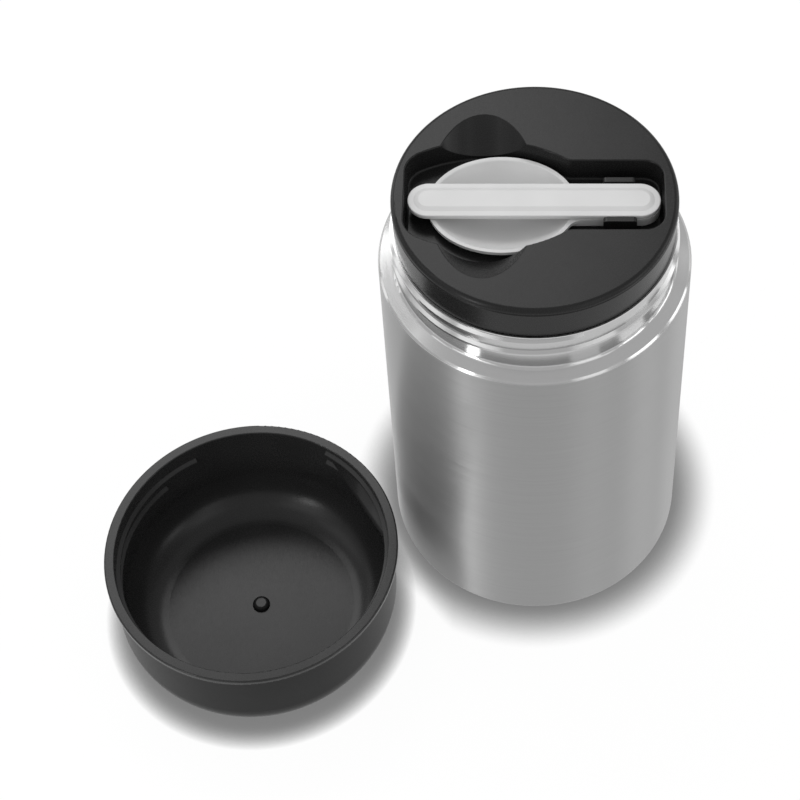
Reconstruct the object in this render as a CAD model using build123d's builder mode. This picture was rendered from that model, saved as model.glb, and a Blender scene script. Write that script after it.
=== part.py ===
from build123d import *
import os
from math import cos, radians, sin, sqrt, tan

# Insulated food jar: a double-wall steel vessel, a screw stopper that carries a folding spoon,
# and a screw-on serving cup that stands beside the jar. Millimetres, +Z up.
# The origin is the centre of the jar's underside, on the surface that the jar stands on.

# ---------------------------------------------------------------- driving dimensions
# Vessel
body_radius = 48.0
body_height = 134.5  # top of the straight wall
sheet = 0.5  # steel wall
vacuum_gap = 2.0
foot_round = 2.0
foot_width = 3.6  # flat ring of the shell's foot
foot_flange_height = 4.0
foot_flange_round = 0.8
bevel_inset = 0.7  # from the straight wall in to the edge of bevel and shoulder cone
shoulder_rise = 0.7  # from the straight wall to that edge
neck_inset = 5.1  # from the straight wall in to the neck
neck_foot_rise = 1.5  # shoulder cone, from its edge to the neck
neck_foot_round = 1.4
bevel_round = 0.15  # both edges of the bevel
neck_height = 15.0  # from the neck's foot to the top of its sheet
rim_overhang = 0.35
rim_round = 0.1
vessel_floor = 9.0  # underside of the inner vessel
vessel_corner = 14.0
vessel_neck_foot = 4.5  # rise of the inner vessel's shoulder
vessel_shoulder_round = 3.0
vessel_neck_round = 2.0

# Neck thread for the serving cup
cup_pitch = 5.6
neck_ridge_height = 1.0
neck_ridge_base = 2.2
neck_ridge_crest = 0.9
neck_thread_rise = 6.3  # start of the ridge above the neck's foot
neck_thread_start = 180.0
neck_thread_end_gap = 0.3  # from the ridge's end to the top of the neck
ridge_root = 0.25  # how far a ridge is rooted in its wall

# Mouth thread for the stopper: two starts
stopper_lead = 12.0
thread_starts = 2
mouth_ridge_height = 0.9
plug_ridge_height = 1.3
screw_ridge_base = 2.0
screw_ridge_crest = 1.0
screw_arc = 150.0
screw_clearance = 0.5
mouth_thread_depth = 9.0  # start of the mouth's ridges, below the rim

# Base
plate_height = 3.0
plate_rim_bottom = 1.2
plate_round = 0.9
plate_fit = 0.05
cover_rim_gap = 0.5  # under the plate
base_cover_round = 0.8
evacuation_radius = 1.5
bead_radius = 2.6
bead_height = 0.5
getter_radius = 5.0
getter_thickness = 1.5
getter_chamfer = 0.2
getter_offset = 20.0
getter_fit = 0.1
clip_sheet = 0.3
clip_flange = 2.0
clip_window_radius = 3.5
foil_thickness = 0.15
foil_gap = 0.2
foil_bottom_margin = 15.0
foil_top_margin = 3.0

# Stopper
skirt_gap = 0.3  # skirt above the rim
cover_round = 1.5
skirt_draft = 0.3
skirt_wall = 1.4
groove_depth = 0.35
groove_gap = 0.1  # between the top's edge round and the groove
cover_top_wall = 1.8
pocket_wall = 1.6
plug_clearance = 1.6  # plug wall to the mouth
plug_depth = 24.2  # below the rim
plug_wall = 1.8
plug_corner = 3.0
flange_thickness = 1.7
cover_seat_gap = 0.1  # between the flange and the block round the recess
seal_thickness = 1.0
seal_fit = 0.05
seal_bore_fit = 0.1
flange_fit = 0.1
seal_width = 2.5
foam_fit = 0.15

# Spoon recess in the stopper's top
recess_left_rim = 4.0  # from the recess to the cover's edge
recess_right_rim = 4.4
recess_floor_gap = 0.5  # under the spoon's stem
recess_bowl_gap = 2.5  # beside the spoon's bowl
recess_draft = 4.0
recess_floor_round = 0.8
recess_edge_round = 0.4
recess_wide_shift = 4.8  # widest place, left of the bowl's centre
recess_side_radius = 44.0
recess_left_corner = 8.0
slot_gap = 6.75  # beside the spoon's handle
slot_corner = 6.0
slot_blend = 4.0
scoop_shift = 5.5  # middle of the scoops, left of the bowl's centre
scoop_foot_rise = 1.1  # where the scoop meets the recess's side, above the floor
scoop_radius = 16.2
scoop_slope = 32.3
well_clearance = 0.7
clip_reach = 11.0  # from the pivot to the clips' far end
clip_length = 9.9
clip_thickness = 2.0
clip_grip_gap = 0.1
clip_handle_gap = 0.45
clip_drop = 2.4
clip_round = 1.0

# Folding spoon
handle_drop = 2.0  # below the stopper's top
handle_end_gap = 1.0
handle_width = 12.4
handle_thickness = 2.2
panel_inset = 1.8
panel_rise = 0.55
panel_bevel = 1.4
layer_gap = 0.2
stem_thickness = 3.0
bowl_end_gap = 6.8  # from the recess's left end
bowl_clip_gap = 7.8
bowl_width = 36.2
bowl_drop = 0.4  # bowl's rim below the stem's top
bowl_depth = 7.6
bowl_wall = 1.0
bowl_flare = 4.0  # height of the ellipsoid's centre above the bowl's rim
lip_thickness = 1.2
stem_blend = 5.0
bowl_rim_round = 0.6  # inner edge of the bowl's rim
spoon_edge_round = 0.35
pin_radius = 2.0
pin_fit = 0.05
pin_head_radius = 3.4
pin_head_thickness = 0.8
pin_head_fit = 0.2
pin_grip = 1.2  # depth of the pin in the handle

# Serving cup
cup_bearing = 207.3  # direction from the jar's axis
cup_stand_gap = 8.1  # between the cup's lip and the jar
cup_top_gap = 8.5  # above the stopper when the cup is on
cup_seat_drop = 0.65  # its rim on the shoulder, below the neck's foot
cup_thread_clearance = 0.5
cup_wall = 1.7
cup_floor = 1.8
cup_corner = 15.0
cup_lip_width = 1.6
cup_lip_height = 2.1
cup_lip_round = 0.5
cup_inner_round = 0.4
cup_thread_height = 1.2
cup_thread_drop = 2.7  # end of the top row below the cup's rim
cup_thread_gap = 60.0  # smooth arc between the two groups of rows
cup_thread_stagger = 16.0
gate_radius = 2.9
gate_height = 1.4
gate_dimple_radius = 2.2
gate_dimple_depth = 0.9
cup_foot_width = 4.1  # flat ring that the cup stands on
cup_foot_recess = 0.5

# ---------------------------------------------------------------- levels and fits
shoulder_radius = body_radius - bevel_inset
neck_radius = body_radius - neck_inset
foot_inner_radius = body_radius - foot_width
shoulder_z = body_height + shoulder_rise
neck_foot_z = shoulder_z + neck_foot_rise
neck_top_z = neck_foot_z + neck_height
rim_z = neck_top_z + sheet
neck_thread_height = neck_height - neck_thread_rise - neck_ridge_base / 2 - neck_thread_end_gap
vessel_radius = body_radius - sheet - vacuum_gap
vessel_neck_radius = neck_radius - sheet - vacuum_gap
mouth_radius = vessel_neck_radius - sheet

# The recess is as deep as the folded spoon, and the cover's block round it sits on the plug.
plug_radius = mouth_radius - plug_clearance
plug_z = rim_z - plug_depth
seal_z = rim_z + seal_fit
flange_z = seal_z + seal_thickness + seal_fit
flange_top = flange_z + flange_thickness
block_z = flange_top + cover_seat_gap
recess_z = block_z + cover_top_wall
recess_depth = handle_drop + handle_thickness + layer_gap + stem_thickness + recess_floor_gap
top_z = recess_z + recess_depth
skirt_z = rim_z + skirt_gap
cover_radius = neck_radius
cover_inner_radius = cover_radius - skirt_draft - skirt_wall

handle_top_z = top_z - handle_drop
handle_z = handle_top_z - handle_thickness
stem_top_z = handle_z - layer_gap
stem_z = stem_top_z - stem_thickness
bowl_rim_z = stem_top_z - bowl_drop
stem_side = handle_width / 2 + clip_grip_gap
handle_side = handle_width / 2 + clip_handle_gap
clip_side = stem_side + clip_thickness
panel_edge = panel_inset + panel_bevel

# Along X the spoon fills the recess, and the recess fills the cover.
recess_left = cover_radius - recess_left_rim
recess_right = cover_radius - recess_right_rim
handle_length = recess_left + recess_right - handle_end_gap * 2
handle_x = (recess_right - recess_left) / 2
pivot_x = recess_right - handle_end_gap - handle_width / 2
clip_start = pivot_x - clip_reach
bowl_length = recess_left - bowl_end_gap + clip_start - bowl_clip_gap
bowl_x = bowl_end_gap - recess_left + bowl_length / 2
recess_wide_x = bowl_x - recess_wide_shift
recess_half_width = bowl_width / 2 + recess_bowl_gap
slot_half_width = handle_width / 2 + slot_gap
scoop_angle = radians(scoop_slope)
scoop_x = bowl_x - scoop_shift
scoop_drop = recess_depth - scoop_foot_rise
scoop_foot_y = recess_half_width - scoop_drop * tan(radians(recess_draft))
scoop_reach = scoop_foot_y + scoop_drop / tan(scoop_angle)
scoop_plan_radius = scoop_radius / sin(scoop_angle)

cup_inner_radius = neck_radius + neck_ridge_height + cup_thread_clearance
cup_radius = cup_inner_radius + cup_wall
cup_lip_radius = cup_radius + cup_lip_width
cup_foot_radius = cup_radius - cup_corner - cup_foot_width
cup_height = top_z + cup_top_gap + cup_floor - (neck_foot_z - cup_seat_drop)
cup_distance = body_radius + cup_lip_radius + cup_stand_gap
cup_x = cup_distance * cos(radians(cup_bearing))
cup_y = cup_distance * sin(radians(cup_bearing))


def thread_ridge(wall_radius, height, base, crest, lead, start_z, start_angle, arc):
    # One helical ridge on a wall, rooted inside it. A negative height points towards the axis.
    root = -ridge_root if height > 0 else ridge_root
    root_half = base / 2 + (base - crest) / 2 * ridge_root / abs(height)
    with BuildPart(mode=Mode.PRIVATE) as ridge:
        with BuildLine(Plane.XY.offset(start_z)) as line:
            Helix(pitch=lead, height=lead * arc / 360, radius=wall_radius)
        with BuildSketch(Plane(origin=line.line @ 0, x_dir=(1, 0, 0), z_dir=line.line % 0)):
            with BuildLine():
                Polyline(
                    (root, -root_half),
                    (height, -crest / 2),
                    (height, crest / 2),
                    (root, root_half),
                    close=True,
                )
            make_face()
        sweep(path=line.line, is_frenet=True)
    return ridge.part.rotate(Axis.Z, start_angle)


def finish(builder, name):
    builder.part.label = name
    export_step(builder.part, f"parts/{name}.step")


os.makedirs("parts", exist_ok=True)

# ---------------------------------------------------------------- outer shell
neck_thread = thread_ridge(
    neck_radius,
    neck_ridge_height,
    neck_ridge_base,
    neck_ridge_crest,
    cup_pitch,
    neck_foot_z + neck_thread_rise,
    neck_thread_start,
    360 * neck_thread_height / cup_pitch,
)

with BuildPart() as outer_shell:
    with BuildSketch(Plane.XZ) as shell_profile:
        with BuildLine():
            FilletPolyline(
                (foot_inner_radius, foot_flange_height),
                (foot_inner_radius, 0),
                (body_radius, 0),
                (body_radius, body_height),
                (shoulder_radius, shoulder_z),
                (neck_radius, neck_foot_z),
                (neck_radius, neck_top_z),
                radius=[foot_flange_round, foot_round, 0, 0, neck_foot_round],
            )
            offset(amount=sheet, side=Side.LEFT)
        make_face()
        for bevel_end in ((body_radius, body_height), (shoulder_radius, shoulder_z)):
            bevel_corner = shell_profile.vertices().sort_by_distance(bevel_end)[0]
            fillet(bevel_corner, bevel_round)
    revolve(axis=Axis.Z)
    add(neck_thread)
finish(outer_shell, "outer_shell")

# ---------------------------------------------------------------- inner vessel
start_spacing = 360 / thread_starts
mouth_thread_z = rim_z - mouth_thread_depth
mouth_threads = [
    thread_ridge(
        mouth_radius,
        -mouth_ridge_height,
        screw_ridge_base,
        screw_ridge_crest,
        stopper_lead,
        mouth_thread_z,
        n * start_spacing,
        screw_arc,
    )
    for n in range(thread_starts)
]
vessel_shoulder_z = neck_foot_z - vacuum_gap
vessel_wall_top = vessel_shoulder_z - vessel_neck_foot
rim_radius = neck_radius + rim_overhang

with BuildPart() as inner_vessel:
    with BuildSketch(Plane.XZ):
        with BuildLine():
            FilletPolyline(
                (0, vessel_floor),
                (vessel_radius, vessel_floor),
                (vessel_radius, vessel_wall_top),
                (vessel_neck_radius, vessel_shoulder_z),
                (vessel_neck_radius, neck_top_z),
                (rim_radius, neck_top_z),
                radius=[vessel_corner, vessel_shoulder_round, vessel_neck_round, rim_round],
            )
            offset(amount=sheet, side=Side.LEFT)
        make_face()
    revolve(axis=Axis.Z)
    add(mouth_threads)
finish(inner_vessel, "inner_vessel")

# ---------------------------------------------------------------- base
plate_radius = foot_inner_radius - plate_fit
with BuildPart() as base_plate:
    with BuildSketch(Plane.XZ):
        with BuildLine():
            FilletPolyline(
                (0, plate_height + sheet),
                (plate_radius, plate_height + sheet),
                (plate_radius, plate_rim_bottom),
                radius=plate_round,
            )
            offset(amount=sheet, side=Side.RIGHT)
        make_face()
    revolve(axis=Axis.Z)
    with Locations((0, 0, plate_height + sheet)):
        Hole(evacuation_radius)
finish(base_plate, "base_plate")

with BuildPart() as vacuum_seal:
    with BuildSketch(Plane.XY.offset(plate_height)):
        Circle(evacuation_radius - plate_fit)
    extrude(amount=sheet)
    with BuildSketch(Plane.XY.offset(plate_height)):
        Circle(bead_radius)
    extrude(amount=-bead_height)
    fillet(vacuum_seal.faces().sort_by(Axis.Z)[0].edges(), bead_height * 0.8)
finish(vacuum_seal, "vacuum_seal")

cover_outer_radius = plate_radius - sheet - plate_fit
with BuildPart() as base_cover:
    with BuildSketch(Plane.XZ):
        with BuildLine():
            FilletPolyline(
                (0, 0),
                (cover_outer_radius, 0),
                (cover_outer_radius, plate_height - cover_rim_gap),
                radius=base_cover_round,
            )
            offset(amount=sheet, side=Side.LEFT)
        make_face()
    revolve(axis=Axis.Z)
finish(base_cover, "base_cover")

getter_z = plate_height + sheet
with BuildPart() as getter_tablet:
    with BuildSketch(Plane.XY.offset(getter_z)):
        with Locations((getter_offset, 0)):
            Circle(getter_radius)
    extrude(amount=getter_thickness)
    chamfer(getter_tablet.faces().sort_by(Axis.Z)[-1].edges(), getter_chamfer)
finish(getter_tablet, "getter_tablet")

getter_cap_radius = getter_radius + getter_fit + clip_sheet
with BuildPart() as getter_clip:
    with BuildSketch(Plane.XY.offset(getter_z)):
        with Locations((getter_offset, 0)):
            Circle(getter_cap_radius + clip_flange)
    extrude(amount=clip_sheet)
    with BuildSketch(Plane.XY.offset(getter_z)):
        with Locations((getter_offset, 0)):
            Circle(getter_cap_radius)
    extrude(amount=getter_thickness + getter_fit + clip_sheet)
    with BuildSketch(Plane.XY.offset(getter_z)):
        with Locations((getter_offset, 0)):
            Circle(getter_radius + getter_fit)
    extrude(amount=getter_thickness + getter_fit, mode=Mode.SUBTRACT)
    with Locations((getter_offset, 0, getter_z + getter_thickness + getter_fit + clip_sheet)):
        Hole(clip_window_radius)
finish(getter_clip, "getter_clip")

with BuildPart() as heat_shield:
    with BuildSketch(Plane.XY.offset(vessel_floor + foil_bottom_margin)):
        Circle(vessel_radius + foil_gap + foil_thickness)
        Circle(vessel_radius + foil_gap, mode=Mode.SUBTRACT)
    extrude(amount=vessel_wall_top - foil_top_margin - vessel_floor - foil_bottom_margin)
finish(heat_shield, "heat_shield")

# ---------------------------------------------------------------- spoon recess
# In plan the recess is a lens round the spoon's bowl, cut straight at the left, with a slot to
# the right. Two finger scoops, tilted cylinders, run down from the top to its floor.
side_offset = recess_side_radius - recess_half_width


def recess_outline(level, wall):
    # The recess in plan, grown by a wall.
    with BuildSketch(Plane.XY.offset(level), mode=Mode.PRIVATE) as outline:
        with Locations((recess_wide_x, -side_offset)):
            Circle(recess_side_radius + wall)
        with Locations((recess_wide_x, side_offset)):
            Circle(recess_side_radius + wall, mode=Mode.INTERSECT)
        with Locations((-recess_left - wall, 0)):
            Rectangle(
                recess_left * 2,
                recess_side_radius * 2,
                align=(Align.MIN, Align.CENTER),
                mode=Mode.INTERSECT,
            )
        fillet(outline.vertices().group_by(Axis.X)[0], recess_left_corner + wall)
        Rectangle(
            recess_right + wall,
            (slot_half_width + wall) * 2,
            align=(Align.MIN, Align.CENTER),
        )
        blend_corners = outline.vertices().filter_by_position(Axis.X, 1, recess_right / 2)
        fillet(blend_corners, slot_blend)
        fillet(outline.vertices().group_by(Axis.X)[-1], slot_corner + wall)
    return outline.sketch


def bowl_ellipsoid(growth, rise=0):
    # The ellipsoid of the spoon bowl's outside, grown on all sides, up to a rise over its rim.
    centre_height = bowl_depth + bowl_flare
    spread = 1 / sqrt(1 - (bowl_flare / centre_height) ** 2)
    with BuildPart(mode=Mode.PRIVATE) as ball:
        Sphere(1)
        scale(
            by=(
                bowl_length / 2 * spread + growth,
                bowl_width / 2 * spread + growth,
                centre_height + growth,
            )
        )
        split(bisect_by=Plane.XY.offset(rise - bowl_flare), keep=Keep.BOTTOM)
    return ball.part.moved(Location((bowl_x, 0, bowl_rim_z + bowl_flare)))


with BuildPart() as scoop:
    scoop_plane = Plane(
        origin=(
            scoop_x,
            scoop_reach - scoop_radius * sin(scoop_angle),
            top_z + scoop_radius * cos(scoop_angle),
        ),
        x_dir=(1, 0, 0),
        z_dir=(0, -cos(scoop_angle), -sin(scoop_angle)),
    )
    with BuildSketch(scoop_plane):
        Circle(scoop_radius)
    extrude(amount=scoop_reach / cos(scoop_angle), both=True)
    split(bisect_by=Plane.XY.offset(recess_z), keep=Keep.TOP)
    split(bisect_by=Plane.XZ, keep=Keep.BOTTOM)

with BuildPart() as recess:
    add(recess_outline(top_z, 0))
    extrude(amount=-recess_depth, taper=recess_draft)
    floor_edges = recess.faces().sort_by(Axis.Z)[0].edges()
    fillet(floor_edges, recess_floor_round)
    add(scoop.part)
    add(scoop.part.mirror(Plane.XZ))
    add(bowl_ellipsoid(well_clearance))

# ---------------------------------------------------------------- stopper cover
# The cavity under the cover leaves a block round the recess, joined with the skirt at its ends.
# A shell round the well under the spoon's bowl hangs below it.
with BuildPart() as cover_cavity:
    with BuildSketch(Plane.XY.offset(skirt_z)):
        Circle(cover_inner_radius)
    extrude(amount=top_z - cover_top_wall - skirt_z)
    with BuildSketch(Plane.XY.offset(block_z)):
        add(recess_outline(0, pocket_wall))
        with Locations(
            (scoop_x, scoop_reach - scoop_plan_radius),
            (scoop_x, scoop_plan_radius - scoop_reach),
        ):
            Ellipse(scoop_radius + pocket_wall, scoop_plan_radius + pocket_wall)
        Rectangle(cover_radius * 2, slot_half_width * 2)
    extrude(amount=recess_depth + cover_top_wall, mode=Mode.SUBTRACT)

groove_z = top_z - cover_round - groove_gap - groove_depth
with BuildPart() as stopper_cover:
    with BuildSketch(Plane.XZ) as cover_profile:
        with BuildLine():
            Polyline(
                (0, skirt_z),
                (cover_radius - skirt_draft, skirt_z),
                (cover_radius, groove_z - groove_depth),
                (cover_radius - groove_depth, groove_z),
                (cover_radius, groove_z + groove_depth),
                (cover_radius, top_z),
                (0, top_z),
                close=True,
            )
        make_face()
        top_corner = cover_profile.vertices().group_by(Axis.Y)[-1].sort_by(Axis.X)[-1]
        fillet(top_corner, cover_round)
    revolve(axis=Axis.Z)
    add(cover_cavity.part, mode=Mode.SUBTRACT)
    add(bowl_ellipsoid(well_clearance + pocket_wall))
    add(recess.part, mode=Mode.SUBTRACT)
    with BuildSketch(Plane.YZ.offset(clip_start)):
        with BuildLine():
            Polyline(
                (stem_side, recess_z - cover_top_wall / 2),
                (stem_side, stem_top_z),
                (handle_side, handle_z),
                (handle_side, top_z - clip_drop),
                (clip_side, top_z - clip_drop),
                (clip_side, recess_z - cover_top_wall / 2),
                close=True,
            )
        make_face()
        mirror(about=Plane.YZ)
    extrude(amount=clip_length)
    clip_edges = stopper_cover.edges().filter_by(Axis.Y).filter_by_position(
        Axis.Z, top_z - clip_drop - 0.01, top_z - clip_drop + 0.01
    )
    fillet(clip_edges, clip_round)
    brink = stopper_cover.edges().filter_by_position(Axis.Z, top_z - 0.01, top_z + 0.01)
    fillet(brink.sort_by(SortBy.LENGTH)[:-1], recess_edge_round)
finish(stopper_cover, "stopper_cover")

# ---------------------------------------------------------------- stopper plug, foam and seal
plug_ridges = [
    thread_ridge(
        plug_radius,
        plug_ridge_height,
        screw_ridge_base,
        screw_ridge_crest,
        stopper_lead,
        mouth_thread_z - screw_ridge_base / 2 - screw_ridge_crest / 2 - screw_clearance,
        n * start_spacing,
        screw_arc,
    )
    for n in range(thread_starts)
]
with BuildPart() as stopper_plug:
    with BuildSketch(Plane.XZ):
        with BuildLine():
            FilletPolyline(
                (0, plug_z),
                (plug_radius, plug_z),
                (plug_radius, flange_top),
                radius=plug_corner,
            )
            offset(amount=plug_wall, side=Side.LEFT)
        make_face()
    revolve(axis=Axis.Z)
    with BuildSketch(Plane.XY.offset(flange_z)):
        Circle(cover_inner_radius - flange_fit)
        Circle(plug_radius - plug_wall / 2, mode=Mode.SUBTRACT)
    extrude(amount=flange_thickness)
    add(plug_ridges)
finish(stopper_plug, "stopper_plug")

foam_z = plug_z + plug_wall + foam_fit
well_bottom = bowl_rim_z - bowl_depth - well_clearance - pocket_wall
with BuildPart() as stopper_insulation:
    with BuildSketch(Plane.XY.offset(foam_z)):
        Circle(plug_radius - plug_wall - foam_fit)
    extrude(amount=well_bottom - foam_fit - foam_z)
    foam_foot = stopper_insulation.faces().sort_by(Axis.Z)[0].edges()
    fillet(foam_foot, plug_corner)
finish(stopper_insulation, "stopper_insulation")

with BuildPart() as stopper_seal:
    with BuildSketch(Plane.XY.offset(seal_z)):
        Circle(plug_radius + seal_bore_fit + seal_width)
        Circle(plug_radius + seal_bore_fit, mode=Mode.SUBTRACT)
    extrude(amount=seal_thickness)
finish(stopper_seal, "stopper_seal")

# ---------------------------------------------------------------- folding spoon
# The bowl's stem lies under the handle, and both end in the same round end about the pivot.
with BuildPart() as spoon_stem:
    with BuildSketch(Plane.XY.offset(stem_top_z)) as stem_plan:
        with Locations(((bowl_x + pivot_x) / 2, 0)):
            Rectangle(pivot_x - bowl_x, handle_width)
        with Locations((pivot_x, 0)):
            Circle(handle_width / 2)
    extrude(amount=-stem_thickness)
    add(bowl_ellipsoid(-bowl_wall, bowl_drop), mode=Mode.SUBTRACT)

with BuildPart() as spoon_bowl:
    with BuildSketch(Plane.XY.offset(bowl_rim_z)) as lip_plan:
        add(stem_plan.sketch_local)
        with Locations((bowl_x, 0)):
            Ellipse(bowl_length / 2, bowl_width / 2)
        lip_corners = lip_plan.vertices().filter_by_position(Axis.X, bowl_x, pivot_x - 1)
        fillet(lip_corners, stem_blend)
    extrude(amount=-lip_thickness)
    add(bowl_ellipsoid(0))
    add(bowl_ellipsoid(-bowl_wall), mode=Mode.SUBTRACT)
    rim_edges = spoon_bowl.edges().filter_by_position(
        Axis.Z, bowl_rim_z - 0.01, bowl_rim_z + 0.01
    )
    fillet(rim_edges.sort_by(SortBy.LENGTH)[-1], bowl_rim_round)
    add(spoon_stem.part)
    with Locations((pivot_x, 0, stem_top_z)):
        Hole(pin_radius + pin_fit)
    with BuildSketch(Plane.XY.offset(stem_z)):
        with Locations((pivot_x, 0)):
            Circle(pin_head_radius + pin_head_fit)
    extrude(amount=pin_head_thickness + pin_head_fit, mode=Mode.SUBTRACT)
finish(spoon_bowl, "spoon_bowl")

panel_z = handle_top_z - panel_rise
with BuildPart() as spoon_handle:
    with BuildSketch(Plane.XY.offset(handle_z)):
        with Locations((handle_x, 0)):
            SlotOverall(handle_length, handle_width)
    extrude(amount=handle_thickness - panel_rise)
    fillet(spoon_handle.edges().filter_by(Plane.XY), spoon_edge_round)
    with BuildSketch(Plane.XY.offset(panel_z)):
        with Locations((handle_x, 0)):
            SlotOverall(handle_length - panel_inset * 2, handle_width - panel_inset * 2)
    with BuildSketch(Plane.XY.offset(handle_top_z)):
        with Locations((handle_x, 0)):
            SlotOverall(handle_length - panel_edge * 2, handle_width - panel_edge * 2)
    loft(ruled=True)
    with BuildSketch(Plane.XY.offset(handle_z)):
        with Locations((pivot_x, 0)):
            Circle(pin_radius)
    extrude(amount=pin_grip, mode=Mode.SUBTRACT)
finish(spoon_handle, "spoon_handle")

pin_head_z = stem_z + pin_head_fit / 2
with BuildPart() as spoon_pin:
    with BuildSketch(Plane.XY.offset(pin_head_z)):
        with Locations((pivot_x, 0)):
            Circle(pin_head_radius)
    extrude(amount=pin_head_thickness)
    with BuildSketch(Plane.XY.offset(pin_head_z)):
        with Locations((pivot_x, 0)):
            Circle(pin_radius)
    extrude(amount=handle_z + pin_grip - pin_head_z)
finish(spoon_pin, "spoon_pin")

# ---------------------------------------------------------------- serving cup
# One thread, broken by two smooth gaps, runs down from its top row. Its foot ends late.
row_arc = 180 - cup_thread_gap
cup_rows = []
for row in range(4):
    late = cup_thread_stagger if row == 3 else 0
    drop_turns = (row * 180 + row_arc - late) / 360
    cup_rows.append(
        thread_ridge(
            cup_inner_radius,
            -cup_thread_height,
            neck_ridge_base,
            neck_ridge_crest,
            cup_pitch,
            cup_height - cup_thread_drop - cup_pitch * drop_turns,
            90 - cup_thread_gap / 2 - 360 * drop_turns,
            row_arc - late,
        )
    )
cup_lip_z = cup_height - cup_lip_height
gate_top = cup_floor + gate_height
dimple_top = cup_foot_recess + gate_dimple_depth

with BuildPart() as serving_cup:
    with BuildSketch(Plane.XZ) as cup_profile:
        with BuildLine():
            Polyline(
                (0, dimple_top),
                (gate_dimple_radius, dimple_top),
                (gate_dimple_radius, cup_foot_recess),
                (cup_foot_radius - cup_foot_recess, cup_foot_recess),
                (cup_foot_radius, 0),
                (cup_radius, 0),
                (cup_radius, cup_lip_z),
                (cup_lip_radius, cup_lip_z),
                (cup_lip_radius, cup_height),
                (cup_inner_radius, cup_height),
                (cup_inner_radius, cup_floor),
                (gate_radius, cup_floor),
                (gate_radius, gate_top),
                (0, gate_top),
                close=True,
            )
        make_face()
        outer_foot = cup_profile.vertices().sort_by_distance((cup_radius, 0))[0]
        fillet(outer_foot, cup_corner)
        inner_foot = cup_profile.vertices().sort_by_distance((cup_inner_radius, cup_floor))[0]
        fillet(inner_foot, cup_corner - cup_wall)
        for lip_z in (cup_lip_z, cup_height):
            lip_edge = cup_profile.vertices().sort_by_distance((cup_lip_radius, lip_z))[0]
            fillet(lip_edge, cup_lip_round)
        lip_inside = cup_profile.vertices().sort_by_distance((cup_inner_radius, cup_height))[0]
        fillet(lip_inside, cup_inner_round)
        gate_edge = cup_profile.vertices().sort_by_distance((gate_radius, gate_top))[0]
        fillet(gate_edge, gate_height * 0.9)
    revolve(axis=Axis.Z)
    add(cup_rows)
serving_cup.part = serving_cup.part.moved(Location((cup_x, cup_y, 0)))
finish(serving_cup, "serving_cup")
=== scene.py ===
import math

import bpy
import numpy as np
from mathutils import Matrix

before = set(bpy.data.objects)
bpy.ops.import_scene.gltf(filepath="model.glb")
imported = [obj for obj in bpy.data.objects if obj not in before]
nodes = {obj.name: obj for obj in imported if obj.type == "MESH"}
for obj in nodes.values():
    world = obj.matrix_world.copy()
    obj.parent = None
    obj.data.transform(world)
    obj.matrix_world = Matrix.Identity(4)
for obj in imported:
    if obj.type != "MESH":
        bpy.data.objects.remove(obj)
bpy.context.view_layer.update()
print("frame loaded:", len(nodes), "nodes")

# Camera: the view down onto the lid, with the jar at the right and the cup in front at the left.
camera = {
    "place": (0.0, -0.44093, 0.72236),  # metres
    "tilt": 38.21,  # degrees up from straight down
    "lens": 107.95,  # millimetres
    "sensor": 36.0,  # millimetres
    "shiftX": -0.16857,
    "shiftY": -0.25065,
    "farthest": 20.0,  # metres
}
cameraData = bpy.data.cameras.new("camera")
cameraData.lens = camera["lens"]
cameraData.sensor_width = camera["sensor"]
cameraData.shift_x = camera["shiftX"]
cameraData.shift_y = camera["shiftY"]
cameraData.clip_end = camera["farthest"]
cameraObject = bpy.data.objects.new("camera", cameraData)
cameraObject.location = camera["place"]
cameraObject.rotation_euler = (math.radians(camera["tilt"]), 0.0, 0.0)
bpy.context.scene.collection.objects.link(cameraObject)
bpy.context.scene.camera = cameraObject
bpy.context.scene.view_settings.view_transform = "Standard"

# Studio: an even pale room, soft boxes high at the back, the left and both sides of the front, and
# low upright strips round the sides and the front. All face one point inside the object.
studio = {
    "roomColour": (1.0, 1.0, 1.0),
    "roomStrength": 0.76,
    "aim": (-0.03, -0.01, 0.1),  # metres
    "softBoxes": [
        # name, direction in degrees from +X, height in degrees, distance, width, height, watts
        ("backBox", 108.0, 52.0, 1.3, 0.7, 0.5, 4.9),
        ("leftBox", 180.0, 50.0, 1.3, 0.5, 0.5, 0.7),
        ("frontLeftBox", 225.0, 45.0, 1.3, 0.5, 0.5, 0.9),
        ("frontRightBox", 315.0, 45.0, 1.3, 0.5, 0.5, 0.6),
        ("leftStrip", 138.0, 20.0, 1.2, 0.4, 0.6, 1.5),
        ("leftFrontStrip", 160.0, 18.0, 1.2, 0.25, 0.6, 0.55),
        ("frontLeftStrip", 229.5, 18.0, 1.2, 0.16, 0.6, 3.0),
        ("frontRightStrip", 305.0, 18.0, 1.2, 0.4, 0.6, 0.7),
        ("rightFrontStrip", 340.0, 18.0, 1.2, 0.4, 0.6, 1.6),
        ("rightStrip", 10.0, 18.0, 1.2, 0.4, 0.6, 1.5),
        ("rightBackStrip", 35.0, 18.0, 1.2, 0.3, 0.6, 0.6),
    ],
}
world = bpy.data.worlds.new("room")
bpy.context.scene.world = world
world.use_nodes = True
background = world.node_tree.nodes["Background"].inputs
background["Color"].default_value = (*studio["roomColour"], 1.0)
background["Strength"].default_value = studio["roomStrength"]
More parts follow.
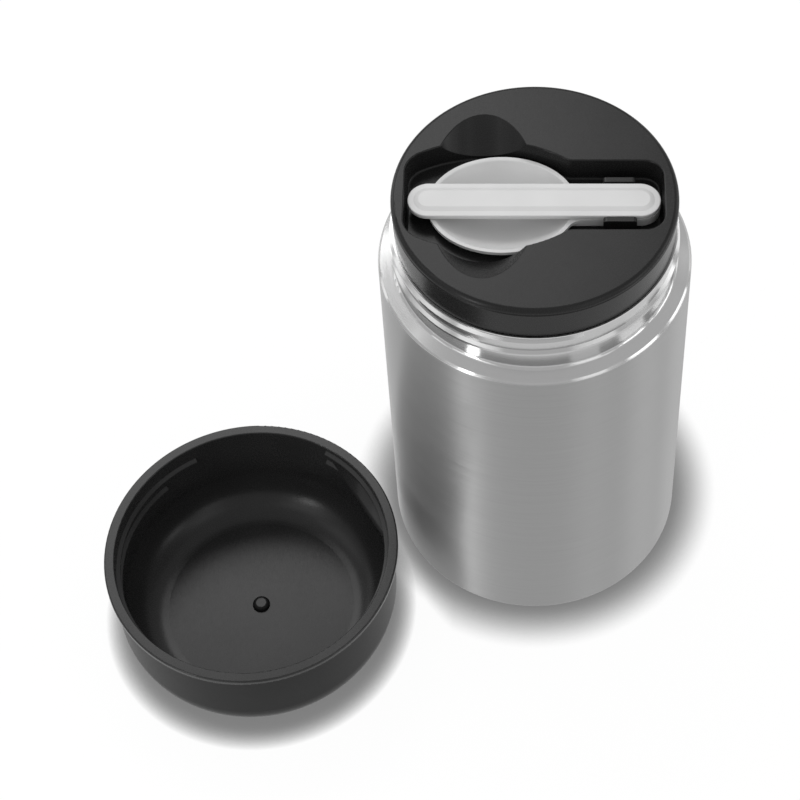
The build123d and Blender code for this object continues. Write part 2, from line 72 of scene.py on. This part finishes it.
for boxName, side, rise, distance, width, height, watts in studio["softBoxes"]:
    lamp = bpy.data.lights.new(boxName, "AREA")
    lamp.shape = "RECTANGLE"
    lamp.size = width
    lamp.size_y = height
    lamp.energy = watts
    yaw, pitch = math.radians(side), math.radians(rise)
    level = math.cos(pitch)
    away = np.array((math.cos(yaw) * level, math.sin(yaw) * level, math.sin(pitch)))
    lampObject = bpy.data.objects.new(boxName, lamp)
    lampObject.location = np.array(studio["aim"]) + away * distance
    lampObject.rotation_euler = (math.pi / 2 - pitch, 0.0, yaw + math.pi / 2)
    bpy.context.scene.collection.objects.link(lampObject)
print("studio set")


def newMaterial(name, colour, roughness, metallic=0.0):
    material = bpy.data.materials.new(name)
    material.use_nodes = True
    tree = material.node_tree
    shader = tree.nodes["Principled BSDF"]
    shader.inputs["Base Color"].default_value = (*colour, 1.0)
    shader.inputs["Roughness"].default_value = roughness
    shader.inputs["Metallic"].default_value = metallic
    return material, tree, shader


def addNode(tree, kind, **settings):
    node = tree.nodes.new(kind)
    for key, value in settings.items():
        setattr(node, key, value)
    return node


# Links another node's output to a socket, or gives the socket a value of its own.
def feed(tree, socket, value):
    if isinstance(value, bpy.types.NodeSocket):
        tree.links.new(value, socket)
    else:
        socket.default_value = value


def addMath(tree, operation, first, second):
    node = addNode(tree, "ShaderNodeMath", operation=operation)
    feed(tree, node.inputs[0], first)
    feed(tree, node.inputs[1], second)
    return node.outputs[0]


# Carries a value from one range over to another, and holds it at both ends.
def mapRange(tree, source, fromLow, fromHigh, toLow, toHigh):
    node = addNode(tree, "ShaderNodeMapRange")
    node.inputs["From Min"].default_value = fromLow
    node.inputs["From Max"].default_value = fromHigh
    node.inputs["To Min"].default_value = toLow
    node.inputs["To Max"].default_value = toHigh
    tree.links.new(source, node.inputs["Value"])
    return node.outputs["Result"]


# Mixes two colours, each given as numbers or as another node's output.
def mixColours(tree, factor, first, second):
    node = addNode(tree, "ShaderNodeMix", data_type="RGBA")
    sockets = [entry for entry in node.inputs if entry.type == "RGBA"]
    for socket, colour in zip(sockets, (first, second)):
        feed(tree, socket, (*colour, 1.0) if isinstance(colour, tuple) else colour)
    tree.links.new(factor, node.inputs[0])
    return [output for output in node.outputs if output.type == "RGBA"][0]


# Noise on Object coordinates, squeezed by a scale for each axis.
def objectNoise(tree, scale, detail, roughness=0.5):
    coordinates = addNode(tree, "ShaderNodeTexCoord")
    mapping = addNode(tree, "ShaderNodeMapping")
    mapping.inputs["Scale"].default_value = scale
    noise = addNode(tree, "ShaderNodeTexNoise")
    noise.inputs["Scale"].default_value = 1.0
    noise.inputs["Detail"].default_value = detail
    noise.inputs["Roughness"].default_value = roughness
    tree.links.new(coordinates.outputs["Object"], mapping.inputs["Vector"])
    tree.links.new(mapping.outputs["Vector"], noise.inputs["Vector"])
    return noise.outputs["Fac"]


noiseSpan = (0.3, 0.7)  # holds most of a noise's values


# Spreads a noise's usual span over a range.
def spreadNoise(tree, noise, low, high):
    return mapRange(tree, noise, *noiseSpan, low, high)


def addBump(tree, shader, source, strength, distance):
    bump = addNode(tree, "ShaderNodeBump")
    bump.inputs["Strength"].default_value = strength
    bump.inputs["Distance"].default_value = distance
    tree.links.new(source, bump.inputs["Height"])
    tree.links.new(bump.outputs["Normal"], shader.inputs["Normal"])


# What both steels share: fine streaks, and broader ones mixed in.
streaks = {
    "fineDetail": 3.0,
    "fineRoughness": 0.55,
    "fineShare": 0.65,  # the broad streaks have the rest
    "broadDetail": 2.0,
    "broadLength": 0.4,  # the broad streaks' counts, as shares of the fine ones'
    "broadStreak": 0.3,
    "bump": 0.2,
    "turn": 0.25,  # of a full turn, from round the jar to up the jar
}


# Steel brushed round the jar: thin horizontal streaks in colour, roughness and height. Above the
# polish height, where there is one, the metal is smoother and paler.
def brushedSteel(name, steel):
    material, tree, shader = newMaterial(name, steel["pale"], steel["roughness"], 1.0)
    length, streak = steel["length"], steel["streak"]
    fineScale = (length, length, streak)
    fine = objectNoise(tree, fineScale, streaks["fineDetail"], streaks["fineRoughness"])
    broadLength = length * streaks["broadLength"]
    broadScale = (broadLength, broadLength, streak * streaks["broadStreak"])
    broad = objectNoise(tree, broadScale, streaks["broadDetail"])
    finePart = addMath(tree, "MULTIPLY", fine, streaks["fineShare"])
    broadPart = addMath(tree, "MULTIPLY", broad, 1.0 - streaks["fineShare"])
    grain = addMath(tree, "ADD", finePart, broadPart)
    colour = mixColours(tree, spreadNoise(tree, grain, 0.0, 1.0), steel["dark"], steel["pale"])
    low, high = steel["roughness"] - steel["spread"], steel["roughness"] + steel["spread"]
    rough = spreadNoise(tree, grain, low, high)
    if "polishFrom" in steel:
        coordinates = addNode(tree, "ShaderNodeTexCoord")
        place = addNode(tree, "ShaderNodeSeparateXYZ")
        tree.links.new(coordinates.outputs["Object"], place.inputs[0])
        start = steel["polishFrom"] - steel["polishEdge"]
        end = steel["polishFrom"] + steel["polishEdge"]
        polish = mapRange(tree, place.outputs["Z"], start, end, 0.0, 1.0)
        smoother = mapRange(tree, polish, 0.0, 1.0, 1.0, steel["polish"])
        rough = addMath(tree, "MULTIPLY", rough, smoother)
        colour = mixColours(tree, polish, colour, steel["polished"])
    tree.links.new(colour, shader.inputs["Base Color"])
    tree.links.new(rough, shader.inputs["Roughness"])
    addBump(tree, shader, grain, streaks["bump"], steel["depth"])
    shader.inputs["Anisotropic"].default_value = steel["anisotropy"]
    shader.inputs["Anisotropic Rotation"].default_value = streaks["turn"]
    tangent = addNode(tree, "ShaderNodeTangent", direction_type="RADIAL", axis="Z")
    tree.links.new(tangent.outputs["Tangent"], shader.inputs["Tangent"])
    return material


shellBrush = {
    "dark": (0.315, 0.315, 0.315),
    "pale": (0.365, 0.365, 0.365),
    "roughness": 0.42,
    "spread": 0.05,  # of the roughness, to both sides
    "length": 70.0,  # streaks per metre round the jar
    "streak": 5500.0,  # streaks per metre up the jar
    "depth": 0.00002,  # metres
    "anisotropy": 0.93,
    "polishFrom": 0.1346,  # metres above the floor
    "polishEdge": 0.0002,  # metres, to both sides
    "polish": 0.4,  # share of the roughness that is left
    "polished": (0.47, 0.47, 0.47),
}
vesselBrush = {
    "dark": (0.5, 0.5, 0.5),
    "pale": (0.6, 0.6, 0.6),
    "roughness": 0.2,
    "spread": 0.04,
    "length": 40.0,
    "streak": 2500.0,
    "depth": 0.00002,
    "anisotropy": 0.6,
}
shellSteel = brushedSteel("shell_steel", shellBrush)
vesselSteel = brushedSteel("vessel_steel", vesselBrush)

# What all mouldings share.
moulding = {
    "patches": 60.0,  # slow changes of colour, per metre
    "detail": 2.0,
    "bump": 0.3,
}


# Moulded plastic: a fine spark-eroded grain in gloss and height, and slow changes of colour.
def mouldedPlastic(name, look):
    material, tree, shader = newMaterial(name, look["colour"], look["roughness"])
    slow = objectNoise(tree, (moulding["patches"],) * 3, moulding["detail"])
    fine = objectNoise(tree, (look["grain"],) * 3, moulding["detail"])
    patches = spreadNoise(tree, slow, 0.0, 1.0)
    colour = mixColours(tree, patches, look["colour"], look["second"])
    low, high = look["roughness"] - look["spread"], look["roughness"] + look["spread"]
    tree.links.new(colour, shader.inputs["Base Color"])
    tree.links.new(spreadNoise(tree, fine, low, high), shader.inputs["Roughness"])
    addBump(tree, shader, fine, moulding["bump"], look["depth"])
    shader.inputs["Specular IOR Level"].default_value = look["specular"]
    return material


coverLook = {
    "colour": (0.009, 0.009, 0.009),
    "second": (0.011, 0.011, 0.011),
    "roughness": 0.27,
    "spread": 0.03,
    "grain": 3000.0,  # per metre
    "depth": 0.00001,  # metres
    "specular": 0.16,
}
cupInsideLook = {
    "colour": (0.016, 0.016, 0.016),
    "second": (0.02, 0.02, 0.02),
    "roughness": 0.27,
    "spread": 0.03,
    "grain": 2500.0,
    "depth": 0.00001,
    "specular": 0.21,
}
# The cup's outside: a darker, rougher and less glossy copy of the cup's plastic. The darker colour
# is painted shade, standing in for the shaded floor round the cup that the outside would mirror.
cupOutsidePaintedShadeLook = {
    "colour": (0.008, 0.008, 0.008),
    "second": (0.01, 0.01, 0.01),
    "roughness": 0.4,
    "spread": 0.03,
    "grain": 2500.0,
    "depth": 0.00001,
    "specular": 0.07,
    "lipStep": 0.0369,  # metres above the cup's foot, where this look ends
}
spoonLook = {
    "colour": (0.5, 0.5, 0.5),
    "second": (0.54, 0.54, 0.54),
    "roughness": 0.42,
    "spread": 0.05,
    "grain": 3500.0,
    "depth": 0.00001,
    "specular": 0.3,
}
sealLook = {
    "colour": (0.3, 0.3, 0.3),
    "second": (0.34, 0.34, 0.34),
    "roughness": 0.6,
    "spread": 0.05,
    "grain": 2500.0,
    "depth": 0.00001,
    "specular": 0.5,
}
foamLook = {
    "colour": (0.8, 0.79, 0.74),
    "second": (0.85, 0.84, 0.8),
    "roughness": 0.9,
    "spread": 0.05,
    "grain": 900.0,
    "depth": 0.0002,
    "specular": 0.5,
}
coverPlastic = mouldedPlastic("cover_plastic", coverLook)
cupPlastic = mouldedPlastic("cup_plastic", cupInsideLook)
cupOutsidePaintedShade = mouldedPlastic("cup_outside_painted_shade", cupOutsidePaintedShadeLook)
spoonPlastic = mouldedPlastic("spoon_plastic", spoonLook)
sealRubber = mouldedPlastic("seal_rubber", sealLook)
foamCore = mouldedPlastic("foam_core", foamLook)

finishes = {
    "outer_shell": shellSteel,
    "inner_vessel": vesselSteel,
    "base_plate": vesselSteel,
    "base_cover": shellSteel,
    "vacuum_seal": sealRubber,
    "getter_tablet": vesselSteel,
    "getter_clip": vesselSteel,
    "heat_shield": vesselSteel,
    "stopper_cover": coverPlastic,
    "stopper_plug": coverPlastic,
    "stopper_insulation": foamCore,
    "stopper_seal": sealRubber,
    "spoon_bowl": spoonPlastic,
    "spoon_handle": spoonPlastic,
    "spoon_pin": vesselSteel,
    "serving_cup": cupPlastic,
}
for nodeName, finish in finishes.items():
    mesh = nodes[nodeName].data
    mesh.materials.clear()
    mesh.materials.append(finish)

# The cup's outside, up to the lip's step, takes the darker copy of the cup's plastic, a painted
# shade: its faces look away from the cup's axis.
cupMesh = nodes["serving_cup"].data
cupMesh.materials.append(cupOutsidePaintedShade)
paintedShadeSlot = len(cupMesh.materials) - 1
cupPlace = nodes["serving_cup"].matrix_world
corners = np.array([cupPlace @ corner.co for corner in cupMesh.vertices])
cupAxis = (corners[:, :2].min(axis=0) + corners[:, :2].max(axis=0)) / 2
cupFoot = corners[:, 2].min()
for face in cupMesh.polygons:
    centre = np.mean(corners[list(face.vertices)], axis=0)
    outward = (centre[:2] - cupAxis) @ np.array((cupPlace.to_3x3() @ face.normal)[:2])
    if outward > 0 and centre[2] - cupFoot < cupOutsidePaintedShadeLook["lipStep"]:
        face.material_index = paintedShadeSlot
print("finishes given")

# Floor: a pale matte sheet, far larger than the view. The eye and reflections see it white, and the
# eye sees it darker where something stands close over it.
floorLook = {
    "half": 6.0,  # metres from the middle to each edge
    "colour": (0.93, 0.93, 0.93),
    "roughness": 0.9,
    "specular": 0.1,
    "contactReach": 0.0155,  # metres
    "cupReach": 0.011,  # the same, round the cup
    "cupZone": (0.055, 0.065),  # metres from the cup's axis, from one reach to the other
    "skySamples": 16,
    "fullShade": 0.5,  # share of open sky at which the shade is full
    "falloff": 2.0,  # a power: a higher one widens the shade
    "contactShade": 0.2,  # brightness where the object touches the floor
    "shadowShare": 0.05,  # share of the lamps' own soft shadow
}
half = floorLook["half"]
floorMesh = bpy.data.meshes.new("floor")
floorCorners = [(-half, -half, 0.0), (half, -half, 0.0), (half, half, 0.0), (-half, half, 0.0)]
floorMesh.from_pydata(floorCorners, [], [(0, 1, 2, 3)])
floorObject = bpy.data.objects.new("floor", floorMesh)
bpy.context.scene.collection.objects.link(floorObject)
floorMaterial, floorTree, floorShader = newMaterial(
    "floor_paper", floorLook["colour"], floorLook["roughness"]
)
floorShader.inputs["Specular IOR Level"].default_value = floorLook["specular"]

# The shade: open sky over each point, within a reach that is shorter round the cup.
floorPlace = addNode(floorTree, "ShaderNodeTexCoord")
fromCup = addNode(floorTree, "ShaderNodeVectorMath", operation="DISTANCE")
fromCup.inputs[1].default_value = (*cupAxis, 0.0)
floorTree.links.new(floorPlace.outputs["Object"], fromCup.inputs[0])
reaches = (floorLook["cupReach"], floorLook["contactReach"])
reach = mapRange(floorTree, fromCup.outputs["Value"], *floorLook["cupZone"], *reaches)
closeness = addNode(floorTree, "ShaderNodeAmbientOcclusion", samples=floorLook["skySamples"])
floorTree.links.new(reach, closeness.inputs["Distance"])
openness = mapRange(floorTree, closeness.outputs["AO"], floorLook["fullShade"], 1.0, 0.0, 1.0)
falloff = addMath(floorTree, "POWER", openness, floorLook["falloff"])
shade = mapRange(floorTree, falloff, 0.0, 1.0, floorLook["contactShade"], 1.0)

# The white: what the eye and reflections see in place of the lit sheet.
rays = addNode(floorTree, "ShaderNodeLightPath").outputs
paperGlow = addNode(floorTree, "ShaderNodeEmission")
glow = addMath(floorTree, "MAXIMUM", shade, rays["Is Glossy Ray"])
floorTree.links.new(glow, paperGlow.inputs["Strength"])
seen = addMath(floorTree, "MAXIMUM", rays["Is Camera Ray"], rays["Is Glossy Ray"])
seenThrough = addMath(floorTree, "MAXIMUM", seen, rays["Is Transmission Ray"])
glowShare = addMath(floorTree, "MULTIPLY", seenThrough, 1.0 - floorLook["shadowShare"])
floorMix = addNode(floorTree, "ShaderNodeMixShader")
floorTree.links.new(glowShare, floorMix.inputs[0])
floorTree.links.new(floorShader.outputs[0], floorMix.inputs[1])
floorTree.links.new(paperGlow.outputs[0], floorMix.inputs[2])
floorOutput = floorTree.nodes["Material Output"]
floorTree.links.new(floorMix.outputs[0], floorOutput.inputs["Surface"])
floorMesh.materials.append(floorMaterial)
print("floor laid")
